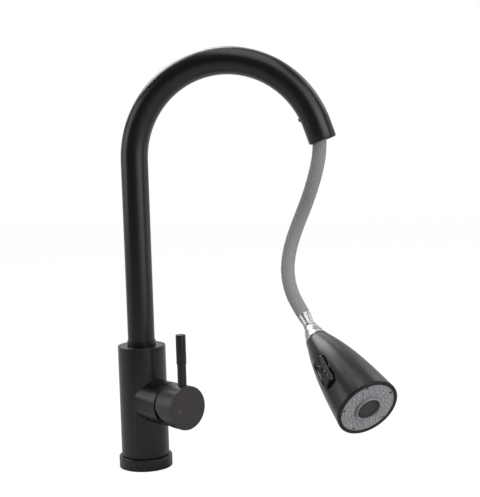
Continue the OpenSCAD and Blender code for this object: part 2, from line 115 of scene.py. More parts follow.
def piece(name, verts, faces, body, slot, replaces, place=None, material=None, smooth=40, ride=True):
    mesh = bpy.data.meshes.new(name)
    mesh.from_pydata([Vector(v) * mm for v in verts], [], faces)
    mesh.validate()
    obj = bpy.data.objects.new(name, mesh)
    bpy.context.scene.collection.objects.link(obj)
    if place is not None:
        mesh.transform(Matrix.Scale(mm, 4) @ place @ Matrix.Scale(1 / mm, 4))
    mesh.materials.append(material or paints[slot])
    tidyNormals(obj, smooth)
    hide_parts(*replaces)
    if ride:
        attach(obj, body)
    return obj


def tidyNormals(obj, angle):
    work = bmesh.new()
    work.from_mesh(obj.data)
    bmesh.ops.remove_doubles(work, verts=work.verts, dist=1e-7)
    bmesh.ops.recalc_face_normals(work, faces=work.faces)
    for face in work.faces:
        face.smooth = True
    for edge in work.edges:
        if len(edge.link_faces) == 2 and edge.calc_face_angle(0) > math.radians(angle):
            edge.smooth = False
    work.to_mesh(obj.data)
    work.free()


def turned(profile, sides, closed=False):  # an outline of (radius, height) turned round the z axis
    verts, faces = [], []
    rows = []
    for radius, height in profile:
        if radius < 1e-6:
            rows.append([len(verts)] * sides)
            verts.append((0, 0, height))
        else:
            rows.append(list(range(len(verts), len(verts) + sides)))
            angles = [2 * math.pi * k / sides for k in range(sides)]
            verts += [(radius * math.cos(a), radius * math.sin(a), height) for a in angles]
    pairs = list(zip(rows, rows[1:])) + ([(rows[-1], rows[0])] if closed else [])
    for low, high in pairs:
        for k in range(sides):
            n = (k + 1) % sides
            corners = [low[k], low[n], high[n], high[k]]
            face = [v for j, v in enumerate(corners) if v not in corners[:j]]
            if len(face) > 2:
                faces.append(face)
    return verts, faces


def lofted(loops, capFirst=False, capLast=False, closed=False):  # skins loops that have equally many points
    count = len(loops[0])
    verts = [point for loop in loops for point in loop]
    faces = []
    spans = len(loops) if closed else len(loops) - 1
    for row in range(spans):
        low, high = row * count, ((row + 1) % len(loops)) * count
        faces += [[low + k, low + (k + 1) % count, high + (k + 1) % count, high + k] for k in range(count)]
    if capFirst:
        faces.append(list(range(count))[::-1])
    if capLast:
        faces.append([(len(loops) - 1) * count + k for k in range(count)])
    return verts, faces


def upright(loop, low, high):  # a straight solid over a flat loop
    return lofted([[(x, y, z) for x, y in loop] for z in (low, high)], True, True)


def joined(parts):  # several (verts, faces) as one
    verts, faces = [], []
    for partVerts, partFaces in parts:
        start = len(verts)
        verts += list(partVerts)
        faces += [[start + k for k in face] for face in partFaces]
    return verts, faces


def placed(part, matrix):
    return [tuple(matrix @ Vector(v)) for v in part[0]], part[1]


def cut(obj, tool, operation="DIFFERENCE"):  # a boolean with a scratch object, which is then deleted
    modifier = obj.modifiers.new("cut", "BOOLEAN")
    modifier.operation = operation
    modifier.solver = "EXACT"
    modifier.object = tool
    bpy.context.view_layer.update()
    result = bpy.data.meshes.new_from_object(obj.evaluated_get(bpy.context.evaluated_depsgraph_get()))
    obj.modifiers.remove(modifier)
    old = obj.data
    obj.data = result
    bpy.data.meshes.remove(old)
    bpy.data.objects.remove(tool, do_unlink=True)


def scratch(part, place=None):  # a mesh object used only as a cutting tool
    mesh = bpy.data.meshes.new("scratch")
    mesh.from_pydata([Vector(v) * mm for v in part[0]], [], part[1])
    if place is not None:
        mesh.transform(Matrix.Scale(mm, 4) @ place @ Matrix.Scale(1 / mm, 4))
    work = bmesh.new()
    work.from_mesh(mesh)
    bmesh.ops.recalc_face_normals(work, faces=work.faces)
    work.to_mesh(mesh)
    work.free()
    obj = bpy.data.objects.new("scratch", mesh)
    bpy.context.scene.collection.objects.link(obj)
    return obj


# shader writing: Wire wraps a socket, so that sums on values add Math nodes

class Wire:
    def __init__(self, paint, socket):
        self.paint = paint
        self.socket = socket

    def calc(self, operation, other=None, swapped=False):
        values = {0: self} if other is None else {0: self, 1: other}
        if swapped:
            values = {0: other, 1: self}
        return self.paint.add("ShaderNodeMath", {"operation": operation}, values)

    def __add__(self, other):
        return self.calc("ADD", other)

    def __radd__(self, other):
        return self.calc("ADD", other)

    def __sub__(self, other):
        return self.calc("SUBTRACT", other)

    def __rsub__(self, other):
        return self.calc("SUBTRACT", other, True)

    def __mul__(self, other):
        return self.calc("MULTIPLY", other)

    def __rmul__(self, other):
        return self.calc("MULTIPLY", other)

    def __truediv__(self, other):
        return self.calc("DIVIDE", other)

    def __rtruediv__(self, other):
        return self.calc("DIVIDE", other, True)

    def clamp(self):
        return self.calc("MAXIMUM", 0.0).calc("MINIMUM", 1.0)


class Nodes:
    def __init__(self, tree):
        self.tree = tree

    def link(self, value, socket):
        if isinstance(value, Wire):
            self.tree.links.new(value.socket, socket)
        elif isinstance(value, tuple) and len(value) == 3 and len(socket.default_value) == 4:
            socket.default_value = (*value, 1.0)
        else:
            socket.default_value = value

    def add(self, kind, settings=None, values=None, output=0):
        node = self.tree.nodes.new(kind)
        for key, value in (settings or {}).items():
            setattr(node, key, value)
        for key, value in (values or {}).items():
            self.link(value, node.inputs[key])
        return Wire(self, node.outputs[output])

    def blend(self, first, second, factor):
        return self.add("ShaderNodeMix", {"data_type": "RGBA"}, {0: factor, 6: first, 7: second}, output=2)


class Paint(Nodes):
    def __init__(self, name, **fixed):
        self.material = bpy.data.materials.new(name)
        self.material.use_nodes = True
        super().__init__(self.material.node_tree)
        self.shader = self.tree.nodes["Principled BSDF"]
        for socket, value in fixed.items():
            self.set(socket, value)

    def set(self, socket, value):
        self.link(value, self.shader.inputs[socket.replace("_", " ")])

    def noise(self, scale, detail=3.0, stretch=(1, 1, 1)):
        coords = self.add("ShaderNodeTexCoord", output="Object")
        place = self.add("ShaderNodeMapping", values={"Vector": coords, "Scale": stretch})
        return self.add("ShaderNodeTexNoise", values={
            "Vector": place, "Scale": scale, "Detail": detail, "Roughness": 0.55})

    def bump(self, height, strength, distance):
        self.set("Normal", self.add("ShaderNodeBump", values={
            "Height": height, "Strength": strength, "Distance": distance}))


def satinPaint(name, colour, rough, look):
    paint = Paint(name, Specular_IOR_Level=look["specular"], Specular_Tint=look["tint"])
    cloud = paint.noise(look["cloud"], 4.0)
    grain = paint.noise(look["grain"], 2.0)
    lighter = tuple(min(1.0, c * look["lift"]) for c in colour)
    paint.set("Base_Color", paint.blend(colour, lighter, cloud))
    paint.set("Roughness", rough + (cloud - 0.5) * look["roughSpread"] + (grain - 0.5) * look["grainSpread"])
    paint.bump(grain * (1 - look["cloudBump"]) + cloud * look["cloudBump"], look["bump"], look["depth"])
    return paint.material


satinLook = {
    "specular": 0.5,
    "tint": (1.0, 0.93, 1.0),
    "cloud": 90.0,         # scale of the slow changes of tone
    "grain": 2600.0,       # scale of the powder's own grain
    "lift": 1.35,          # how much lighter the lightest spots are
    "roughSpread": 0.03,
    "grainSpread": 0.04,
    "bump": 0.03,
    "cloudBump": 0.3,      # share of the slow changes in the bump
    "depth": 0.00003,
}


def moulded(name, colour, rough, specular=0.5, grain=1500.0, depth=0.00005):
    look = mouldedLook
    paint = Paint(name, Specular_IOR_Level=specular)
    speck = paint.noise(grain, 3.0)
    cloud = paint.noise(look["cloud"], 2.0)
    darker = tuple(c * look["darker"] for c in colour)
    lighter = tuple(min(1, c * look["lighter"]) for c in colour)
    paint.set("Base_Color", paint.blend(darker, lighter, cloud))
    paint.set("Roughness", rough + (speck - 0.5) * look["roughSpread"])
    paint.bump(speck, look["bump"], depth)
    return paint.material


mouldedLook = {"cloud": 120.0, "darker": 0.88, "lighter": 1.1, "roughSpread": 0.1, "bump": 0.12}


def metal(name, colour, rough, streak=(1, 1, 1), scale=900.0, bump=0.08):
    look = metalLook
    paint = Paint(name, Metallic=1.0)
    marks = paint.noise(scale, 4.0, stretch=streak)
    cloud = paint.noise(look["cloud"], 2.0)
    paint.set("Base_Color", paint.blend(tuple(c * look["darker"] for c in colour), colour, cloud))
    paint.set("Roughness", rough + (marks - 0.5) * look["roughSpread"])
    paint.bump(marks, bump, look["depth"])
    return paint.material


metalLook = {"cloud": 60.0, "darker": 0.92, "roughSpread": 0.06, "depth": 0.00003}


def braided(name, look):  # the strands themselves are in the mesh; this colours them and their threads
    paint = Paint(name, Specular_IOR_Level=look["specular"])
    uv = paint.add("ShaderNodeUVMap", {"uv_map": "UVMap"})
    around = paint.add("ShaderNodeSeparateXYZ", values={0: uv}, output="X")
    along = paint.add("ShaderNodeSeparateXYZ", values={0: uv}, output="Y")
    left = (around + along) * (look["strands"] * math.pi)
    right = (around - along) * (look["strands"] * math.pi)
    leftEdge, rightEdge = left.calc("SINE"), right.calc("SINE")
    over = (leftEdge * rightEdge * look["overSharp"] + 0.5).clamp()  # which family lies on top
    leftThread = (left * look["threads"]).calc("SINE").calc("ABSOLUTE")
    rightThread = (right * look["threads"]).calc("SINE").calc("ABSOLUTE")
    thread = over * leftThread + (1.0 - over) * rightThread
    edge = over * leftEdge.calc("ABSOLUTE") + (1.0 - over) * rightEdge.calc("ABSOLUTE")
    cloud = paint.noise(look["cloud"], 3.0)
    rib = (around * (look["ribs"] * math.pi)).calc("SINE").calc("ABSOLUTE")
    # thread and strand are low in the grooves between threads and between strands, so the braid is darker there:
    # painted shade. The ribs and clouds are its own tone
    strand = (edge * look["edgeSharp"]).clamp()
    shade = thread * look["threadGrooveShade"] + strand * look["strandGrooveShade"] + rib * look["ribShade"]
    shade = (shade + cloud * look["cloudShade"] - look["shadeDrop"]).clamp()
    paint.set("Base_Color", paint.blend(look["dark"], look["light"], shade))
    paint.set("Roughness", look["rough"] + cloud * look["roughSpread"])
    paint.bump(thread * 0.5 + edge * 0.5, look["bump"], look["depth"])
    return paint.material


braidLook = {
    "strands": 12,         # in each of the two families
    "threads": 4,          # in a strand
    "ribs": 20,            # light lines along the hose
    "overSharp": 5,
    "edgeSharp": 3,
    # the thread and strand shares darken the grooves between threads and between strands: painted shade
    "threadGrooveShade": 0.3,    # how much each of these lightens the braid
    "strandGrooveShade": 0.25,
    "ribShade": 0.35,
    "cloudShade": 0.3,
    "shadeDrop": 0.1,
    "cloud": 700.0,
    "specular": 0.35,
    "rough": 0.5,
    "roughSpread": 0.2,
    "bump": 0.4,
    "depth": 0.00012,
    "dark": (0.05, 0.05, 0.05),
    "light": (0.36, 0.36, 0.36),
}

paints = {
    "satin_black": satinPaint("satinBlack", (0.0048, 0.0044, 0.005), 0.30, satinLook),
    "satin_grey": satinPaint("satinGrey", (0.017, 0.0145, 0.0165), 0.28, satinLook),
    "gloss_black": moulded("glossBlack", (0.005, 0.0048, 0.0055), 0.3, 0.3, 900.0, 0.00001),
    "black_plastic": moulded("blackPlastic", (0.03, 0.03, 0.032), 0.5),
    "rubber": moulded("blackRubber", (0.012, 0.012, 0.012), 0.6, 0.3),
    "grey_rubber": moulded("greySilicone", (0.45, 0.44, 0.48), 0.4, 0.5),
    "grey_plastic": moulded("greyPlastic", (0.27, 0.265, 0.28), 0.34, 0.5, 1800.0),
    "white_plastic": moulded("whitePlastic", (0.72, 0.71, 0.67), 0.45),
    "red_plastic": moulded("redPlastic", (0.35, 0.06, 0.05), 0.3),
    "dark_mesh": metal("meshWire", (0.10, 0.096, 0.10), 0.4),
    "brass": metal("brass", (0.72, 0.52, 0.25), 0.3, (1, 1, 12)),
    "steel": metal("steel", (0.5, 0.5, 0.52), 0.32, (1, 12, 1)),
    "chrome": metal("chrome", (0.58, 0.58, 0.59), 0.32, (1, 1, 1), 300.0, 0.01),
    "hose_braid": braided("hoseBraid", braidLook),
}
buttonPaint = satinPaint("buttonPaint", (0.005, 0.0047, 0.0053), 0.2, satinLook)
capPaint = satinPaint("capPaint", (0.025, 0.0215, 0.025), 0.36, satinLook)

# frames of the moving parts, taken from the joints

valvePlace = Vector(joints["lever_turn"]["pos_m"]) / mm
valve = frameOf(valvePlace, joints["lever_turn"]["axis"], joints["lever_tilt"]["axis"])
ballPlace = Vector(joints["head_tilt"]["pos_m"]) / mm
head = frameOf(ballPlace, joints["head_spin"]["axis"], joints["head_tilt"]["axis"])
hoseSide = Vector((0, 0, 1)).cross(Vector(joints["hose_swivel"]["axis"]))
hoseEnd = frameOf(ballPlace, joints["hose_swivel"]["axis"], hoseSide)

# camera, light and background

camera = {
    "place": (0.41033, -1.16861, 0.35763),
    "heading": 14.455,
    "pitch": -6.09,
    "roll": -1.74,
    "lens": 86.9,
}


def makeCamera(look):
    data = bpy.data.cameras.new("camera")
    data.lens = look["lens"]
    data.clip_start = 0.01
    obj = bpy.data.objects.new("camera", data)
    bpy.context.scene.collection.objects.link(obj)
    turn = (Matrix.Rotation(math.radians(look["heading"]), 4, "Z")
            @ Matrix.Rotation(math.radians(90 + look["pitch"]), 4, "X")
            @ Matrix.Rotation(math.radians(look["roll"]), 4, "Z"))
    obj.matrix_world = Matrix.Translation(Vector(look["place"])) @ turn
    bpy.context.scene.camera = obj


softBoxes = [  # name, direction from the faucet, distance, width, height, brightness
    ("right", (0.91, -0.40, 0.17), 1.3, 0.7, 0.9, 1.9),
    ("rightHigh", (0.72, -0.38, 0.60), 1.3, 1.0, 0.8, 1.8),
    ("rightFront", (0.67, -0.74, 0.22), 1.3, 0.5, 0.8, 1.3),
    ("rightBack", (0.91, 0.41, 0.15), 1.3, 0.5, 0.7, 1.0),
    ("highRightBack", (0.53, 0.60, 0.60), 1.3, 0.7, 0.6, 1.4),
    ("left", (-0.95, -0.26, 0.24), 1.3, 0.8, 0.8, 1.8),
    ("leftBack", (-0.93, 0.36, 0.06), 1.3, 0.5, 0.5, 0.6),
    ("top", (0.05, -0.20, 1.0), 1.3, 1.0, 1.2, 1.8),
    ("behindLeft", (-0.50, 0.48, 0.72), 1.3, 0.9, 0.7, 5.2),
    ("lowBehindLeft", (-0.66, 0.62, 0.42), 1.3, 0.4, 0.4, 1.4),
    ("behindTop", (-0.17, 0.74, 0.64), 1.3, 0.6, 0.5, 1.2),
]
lightAim = (0.08, -0.01, 0.22)


def makeLights(boxes):
    for name, way, distance, width, height, brightness in boxes:
        data = bpy.data.lights.new(name, "AREA")
        data.shape = "RECTANGLE"
        data.size = width
        data.size_y = height
        data.energy = brightness * math.pi * width * height
        obj = bpy.data.objects.new(name, data)
        bpy.context.scene.collection.objects.link(obj)
        way = Vector(way).normalized()
        facing = way.to_track_quat("Z", "Y").to_matrix().to_4x4()
        obj.matrix_world = Matrix.Translation(Vector(lightAim) + way * distance) @ facing


room = {
    "diffuse": 0.25,       # light from all round on matt surfaces
    "glossBack": 0.6,      # what glossy surfaces show of the backdrop, and of the viewer's side
    "glossFront": 0.06,
    "backFrom": 0.45,      # the backdrop starts and is full where a direction's y is this
    "backTo": 0.8,
    "floorSize": 3.0,      # from its middle to an edge
    "floorCloud": 40.0,
    "floorDark": 0.50,
    "floorPale": 0.54,
    "floorDrop": 0.0002,   # keeps the floor just under the base ring
    "floorLift": 0.9,      # share of the floor's own glow to the camera; the rest keeps the shadow
    "floorGlow": 1.085,
    "floorGloss": 0.7,     # its glow in glossy surfaces, from and up to these y in metres
    "floorFrom": 0.3,
    "floorTo": 1.1,
}


def makeWorld(look):  # a dark studio on the viewer's side and a white backdrop behind, white to the camera
    world = bpy.data.worlds.new("studio")
    bpy.context.scene.world = world
    world.use_nodes = True
    nodes = Nodes(world.node_tree)
    way = nodes.add("ShaderNodeTexCoord", output="Generated")
    behind = nodes.add("ShaderNodeSeparateXYZ", values={0: way}, output="Y")
    share = ((behind - look["backFrom"]) / (look["backTo"] - look["backFrom"])).clamp()
    grey = {key: (look[key],) * 3 for key in ("diffuse", "glossBack", "glossFront")}
    gloss = nodes.blend(grey["glossFront"], grey["glossBack"], share)
    light = nodes.blend(grey["diffuse"], gloss, nodes.add("ShaderNodeLightPath", output="Is Glossy Ray"))
    light = nodes.blend(light, (1.0, 1.0, 1.0), nodes.add("ShaderNodeLightPath", output="Is Camera Ray"))
    nodes.link(light, world.node_tree.nodes["Background"].inputs["Color"])


def makeFloor(look):
    mesh = bpy.data.meshes.new("floor")
    size = look["floorSize"]
    corners = [(-size, -size, 0), (size, -size, 0), (size, size, 0), (-size, size, 0)]
    mesh.from_pydata(corners, [], [(0, 1, 2, 3)])
    floor = bpy.data.objects.new("floor", mesh)
    floor.location.z = -look["floorDrop"]
    bpy.context.scene.collection.objects.link(floor)
    paint = Paint("paleFloor", Roughness=0.9, Specular_IOR_Level=0.1)
    cloud = paint.noise(look["floorCloud"])
    paint.set("Base_Color", paint.blend((look["floorDark"],) * 3, (look["floorPale"],) * 3, cloud))
    glow = paint.add("ShaderNodeEmission", values={"Color": (1.0, 1.0, 1.0), "Strength": look["floorGlow"]})
    spot = paint.add("ShaderNodeTexCoord", output="Object")
    behind = paint.add("ShaderNodeSeparateXYZ", values={0: spot}, output="Y")
    share = ((behind - look["floorFrom"]) / (look["floorTo"] - look["floorFrom"])).clamp()
    gloss = share * look["floorGloss"]
    seen = paint.add("ShaderNodeLightPath", output="Is Camera Ray") * look["floorLift"]
    seen = seen + paint.add("ShaderNodeLightPath", output="Is Glossy Ray") * gloss
    lit = Wire(paint, paint.shader.outputs[0])
    mixed = paint.add("ShaderNodeMixShader", values={0: seen, 1: lit, 2: glow})
    paint.link(mixed, paint.tree.nodes["Material Output"].inputs["Surface"])
    mesh.materials.append(paint.material)


makeCamera(camera)
makeLights(softBoxes)
makeWorld(room)
makeFloor(room)
bpy.context.scene.view_settings.view_transform = "Standard"
print("camera, light and floor are set")

# the free hose: route as in the solid model, then smoothed

hoseLook = {
    "radius": 7.0,
    "lead": 121.0,         # hose length in which a strand goes once round
    "sides": 144,
    "step": 0.9,
    "eases": 60,           # times that the bends between the listed points are eased
    "relief": 0.35,
    "lap": 0.3,            # how far a strand dips where it passes under
    "taper": 7.0,          # length pressed narrower by the ferrule
    "endRadius": 6.45,
}
hoseRoute = [
    (0.19059, 0, 0.35301), (0.1923, 0.0001, 0.344), (0.1931, 0.0004, 0.3355), (0.1927, 0.0011, 0.327),
    (0.1915, 0.002, 0.3185), (0.1893, 0.0035, 0.3094), (0.1857, 0.0064, 0.298), (0.181, 0.0108, 0.2859),
    (0.1755, 0.0156, 0.2736), (0.1698, 0.0188, 0.2613), (0.1645, 0.0199, 0.249), (0.16, 0.0191, 0.2368),
    (0.1569, 0.0166, 0.2247), (0.1556, 0.0131, 0.2134), (0.1559, 0.0093, 0.2038), (0.1576, 0.0054, 0.195),
    (0.1604, 0.0014, 0.1871), (0.1639, -0.0026, 0.1803), (0.1687, -0.0073, 0.1734),
    (0.17689, -0.01652, 0.16354)]


def smoothLine(points, step, eases):  # an even Catmull-Rom line by the points
    between = 24
    pts = [np.array(p, float) for p in points]
    pts = [2 * pts[0] - pts[1]] + pts + [2 * pts[-1] - pts[-2]]
    fine = []
    for a, b, c, d in zip(pts, pts[1:], pts[2:], pts[3:]):
        for t in np.linspace(0, 1, between, endpoint=False):
            fine.append(0.5 * (2 * b + (c - a) * t + (2 * a - 5 * b + 4 * c - d) * t ** 2
                               + (3 * b - a - 3 * c + d) * t ** 3))
    fine.append(pts[-2])
    fine = np.array(fine)
    for _ in range(eases):
        fine[1:-1] = 0.5 * fine[1:-1] + 0.25 * (fine[:-2] + fine[2:])
    reach = np.concatenate([[0], np.cumsum(np.linalg.norm(np.diff(fine, axis=0), axis=1))])
    count = max(2, round(reach[-1] / step))
    even = np.linspace(0, reach[-1], count + 1)
    return np.stack([np.interp(even, reach, fine[:, axis]) for axis in range(3)], axis=1), even


def carried(line):  # directions and side vectors carried along a line without twist
    ways = np.gradient(line, axis=0)
    ways /= np.linalg.norm(ways, axis=1)[:, None]
    side = np.cross([0, 1, 0], ways[0])
    sides = []
    for way in ways:
        side = side - way * side.dot(way)
        side /= np.linalg.norm(side)
        sides.append(side.copy())
    return ways, np.array(sides)


def makeHose(look):
    line, reach = smoothLine([Vector(p) / mm for p in hoseRoute], look["step"], look["eases"])
    ways, sides = carried(line)
    turns = np.arange(look["sides"]) / look["sides"]
    angles = 2 * math.pi * turns
    verts, faces = [], []
    for point, way, side, along in zip(line, ways, sides, reach):
        other = np.cross(way, side)
        left = np.sin(math.pi * braidLook["strands"] * (turns + along / look["lead"]))
        right = np.sin(math.pi * braidLook["strands"] * (turns - along / look["lead"]))
        dip = look["lap"] * left * right
        leftHeight = np.abs(left) ** 0.5 * (1 - look["lap"] + dip)
        rightHeight = np.abs(right) ** 0.5 * (1 - look["lap"] - dip)
        height = np.maximum(leftHeight, rightHeight)
        press = max(0.0, 1 - (reach[-1] - along) / look["taper"])
        outer = look["radius"] - (look["radius"] - look["endRadius"]) * press ** 1.5
        radius = outer - look["relief"] * (1 - height)
        ring = point + radius[:, None] * (np.cos(angles)[:, None] * side + np.sin(angles)[:, None] * other)
        verts += [tuple(v) for v in ring]
    count = look["sides"]
    for row in range(len(line) - 1):
        low, high = row * count, (row + 1) * count
        faces += [[low + k, low + (k + 1) % count, high + (k + 1) % count, high + k] for k in range(count)]
    faces.append(list(range(count))[::-1])
    faces.append([(len(line) - 1) * count + k for k in range(count)])
    mesh = bpy.data.meshes.new("braidedHose")
    mesh.from_pydata([Vector(v) * mm for v in verts], [], faces)
    uv = mesh.uv_layers.new(name="UVMap")
    for polygon in mesh.polygons[:-2]:
        row, k = divmod(polygon.index, count)
        for loop, (du, dv) in zip(polygon.loop_indices, ((0, 0), (1, 0), (1, 1), (0, 1))):
            uv.data[loop].uv = ((k + du) / count, reach[min(row + dv, len(reach) - 1)] / look["lead"])
    obj = bpy.data.objects.new("braidedHose", mesh)
    bpy.context.scene.collection.objects.link(obj)
    mesh.materials.append(paints["hose_braid"])
    for polygon in mesh.polygons:
        polygon.use_smooth = True
    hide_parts("hose")
    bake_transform(obj)


makeHose(hoseLook)
print("hose is made")

# body, base ring and valve

bodyLook = {
    "radius": 24.8,
    "top": 128.2,
    "ringRadius": 27.75,
    "ringTop": 12.0,
    "ringBore": 22.2,
    "gap": 0.6,            # dark joint line over the ring
    "footRadius": 21.9,
    "bore": 14.95,         # the spout's socket and its floor
    "boreFloor": 100.5,
    "valveRadius": 22.4,
    "valveStart": 3.0,
    "collarEnd": 46.0,
    "collarBore": 19.4,
    "collarFloor": 40.0,
    "sides": 192,
}


def makeBaseRing(look):
    bore, radius, top = look["ringBore"], look["ringRadius"], look["ringTop"]
    outline = rounded([(bore, 0), (radius - 0.1, 0), (radius, 0.4), (radius, top), (bore, top)],
                      [0, 0.3, 0.3, 1.3, 0])
    piece("baseRing", *turned(outline, look["sides"], closed=True), "base", "satin_black", ["base_ring"])


def makeBody(look):
    low = look["ringTop"] + look["gap"]
    outline = rounded([(0, low), (look["radius"], low), (look["radius"], look["top"]),
                       (look["bore"], look["top"]), (look["bore"], look["boreFloor"]),
                       (0, look["boreFloor"])], [0, 0.5, 0.7, 0.25, 0, 0])
    body = piece("faucetBody", *turned(outline, look["sides"]), "base", "satin_black", ["body"], ride=False)
    start, end = look["valveStart"], look["collarEnd"]
    bore, floor = look["collarBore"], look["collarFloor"]
    collar = rounded([(0, start), (look["valveRadius"], start), (look["valveRadius"], end), (bore, end),
                      (bore, floor), (0, floor)], [0, 0, 0.5, 0.3, 0, 0])
    cut(body, scratch(turned(collar, 160), valve), "UNION")
    foot = [(0, 0), (look["footRadius"], 0), (look["footRadius"], low + 0.5), (0, low + 0.5)]
    cut(body, scratch(turned(foot, 96)), "UNION")
    tidyNormals(body, 35)
    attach(body, "base")


bushLook = {"bore": 14.06, "radius": 14.8, "low": 126.0, "top": 133.4}


def makeBush(look):
    bore, radius, low, top = look["bore"], look["radius"], look["low"], look["top"]
    outline = rounded([(bore, low), (radius, low), (radius, top), (bore, top)], [0, 0, 0.5, 0.2])
    piece("spoutBush", *turned(outline, 128, closed=True), "base", "gloss_black", ["spout_bush"])


makeBaseRing(bodyLook)
makeBody(bodyLook)
makeBush(bushLook)
print("body is made")

# handle

handleLook = {
    "radius": 22.4,
    "start": 47.8,         # from the body's middle along the valve
    "end": 73.0,
    "wall": 2.5,
    "slope": 0.61,         # of the cut that shortens the skirt below
    "slopeReach": 30.0,
    "slopeWidth": 80.0,
    "leverAt": 65.0,       # along the valve, and the lever's top over the deck
    "leverTop": 146.3,
    "rod": 4.5,
    "rodFoot": 14.0,
    "grip": 5.05,
    "gripLength": 30.0,
}


def makeHandle(look):
    radius, start, end = look["radius"], look["start"], look["end"]
    inner, roof = radius - look["wall"], end - look["wall"]
    outline = rounded([(0, end), (radius, end), (radius, start), (inner, start), (inner, roof), (0, roof)],
                      [0, 0.9, 0.35, 0.35, 1.0, 0])
    cap = piece("handleCap", *turned(outline, 192), "handle", "satin_black", ["handle_cap"], place=valve,
                material=capPaint, ride=False)
    reach, below = look["slopeReach"], start - 3
    wedge = [(0, below), (0, start), (reach, start + reach * look["slope"]), (reach, below)]
    side = look["slopeWidth"] / 2
    loops = [[(x, y, z) for x, z in wedge] for y in (-side, side)]
    cut(cap, scratch(lofted(loops, True, True), valve))
    tidyNormals(cap, 35)
    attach(cap, "handle")
    lever = Matrix.Translation(valvePlace) @ valve.to_quaternion().to_matrix().to_4x4()
    lever = lever @ Matrix.Translation((0, 0, look["leverAt"])) @ Matrix.Rotation(math.radians(-90), 4, "Y")
    top = look["leverTop"] - valvePlace.z
    low = top - look["gripLength"]
    foot, rodTop = look["rodFoot"], low + 1
    rod = [(0, foot), (look["rod"], foot), (look["rod"], rodTop), (0, rodTop)]
    piece("leverRod", *turned(rod, 64), "handle", "satin_black", ["lever_rod"], place=lever)
    grip = rounded([(0, low), (look["grip"], low), (look["grip"], top), (0, top)], [0, 0.35, 0.9, 0])
    piece("leverGrip", *turned(grip, 64), "handle", "satin_black", ["lever_grip"], place=lever)


makeHandle(handleLook)
print("handle is made")

# spout

spoutLook = {
    "radius": 13.97,
    "wall": 1.2,
    "foot": 100.5,
    "archRadius": 98.26,
    "archHeight": 319.4,   # of the arch's centre
    "archEnd": 19.0,       # degrees short of a half turn
    "archSteps": 84,
    "straight": 15.8,      # after the arch
    "edge": 0.35,
    "sides": 128,
}


def spoutStations(look):
    stations = [((0, 0, z), (0, 0, 1)) for z in (look["foot"], 160, 220, 280, look["archHeight"])]
    steps, radius = look["archSteps"], look["archRadius"]
    for k in range(1, steps + 1):
        a = math.radians(180 - (180 - look["archEnd"]) * k / steps)
        place = (radius * (1 + math.cos(a)), 0, look["archHeight"] + radius * math.sin(a))
        stations.append((place, (math.sin(a), 0, -math.cos(a))))
    way = Vector(stations[-1][1])
    last = Vector(stations[-1][0])
    stations += [(tuple(last + way * look["straight"] * t), tuple(way)) for t in (0.5, 1.0)]
    return stations


def makeSpout(look):
    stations = spoutStations(look)
    edge = look["edge"]
    outer = [(p, w, look["radius"]) for p, w in stations[:-1]]
    end, endWay = Vector(stations[-1][0]), Vector(stations[-1][1])
    outer += [(end - endWay * edge * (1 - math.sin(a)), endWay, look["radius"] - edge * (1 - math.cos(a)))
              for a in (0, math.pi / 6, math.pi / 3, math.pi / 2)]
    inner = [(p, w, look["radius"] - look["wall"]) for p, w in stations[::-1]]
    loops = []
    for place, way, radius in outer + inner:
        way = Vector(way)
        side = Vector((0, 1, 0))
        other = way.cross(side)
        loops.append([tuple(Vector(place) + radius * (math.cos(a) * other + math.sin(a) * side))
                      for a in (2 * math.pi * k / look["sides"] for k in range(look["sides"]))])
    piece("spoutTube", *lofted(loops, closed=True), "spout", "satin_black", ["spout_tube"])
    return end, endWay


spoutEnd, spoutWay = makeSpout(spoutLook)
spoutFrame = frameOf(spoutEnd, spoutWay, (0, 1, 0))


guideLook = {
    "radius": 12.75,       # inside the tube
    "bore": 11.0,
    "depth": 13.6,
    "lipRadius": 13.4,
    "lip": 0.75,
    "crown": (11.9, 0.95),
    "throat": (10.7, -3.0),
}


def makeEndGuide(look):
    radius, low = look["radius"], -look["depth"]
    outline = rounded([(look["bore"], low), (radius, low), (radius, 0.02), (look["lipRadius"], 0.05),
                       (look["lipRadius"], look["lip"]), look["crown"], look["throat"]],
                      [0, 0, 0, 0, 0.4, 0.5, 0])
    piece("endGuide", *turned(outline, 96, closed=True), "spout", "gloss_black", ["end_guide"],
          place=spoutFrame)


screwLook = {
    "back": 26.0,          # from the spout's end along its inner side
    "radius": 2.0,
    "sunk": 0.5,
    "side": 1.0,
    "top": 1.35,
    "rim": 1.2,
    "socket": 1.0,
    "socketFloor": 0.7,
}


def makeDockScrew(look, spout):
    inner = spout["archRadius"] - spout["radius"]
    back = math.radians(spout["archEnd"]) + (look["back"] - spout["straight"]) / inner
    way = Vector((-math.cos(back), 0, -math.sin(back)))
    base = Vector((spout["archRadius"], 0, spout["archHeight"])) - way * inner
    radius, low, top, floor = look["radius"], -look["sunk"], look["top"], look["socketFloor"]
    outline = rounded([(0, low), (radius, low), (radius, look["side"]), (look["rim"], top),
                       (look["socket"], top), (look["socket"] - 0.05, floor), (0, floor)],
                      [0, 0, 0.3, 0.1, 0.05, 0.1, 0])
    piece("dockScrew", *turned(outline, 40), "spout", "gloss_black", ["dock_screw"],
          place=frameOf(base, way, (0, 1, 0)))


makeEndGuide(guideLook)
makeDockScrew(screwLook, spoutLook)
print("spout is made")

# hose end and ball joint

jointLook = {
    "ball": 11.6,
    "domeFrom": -30,       # the ball's round part, in degrees from its middle
    "domeTo": 34,
    "flutes": 10,          # pressed into the ferrule
    "fluteDepth": 0.05,
    "fluteFrom": -31.7,
    "fluteTo": -22.5,
    "fluteFade": 1.5,
    "collarBore": 2.7,
    "collarRadius": 6.3,
    "collarFrom": -20.6,
    "collarTo": -18.4,
}


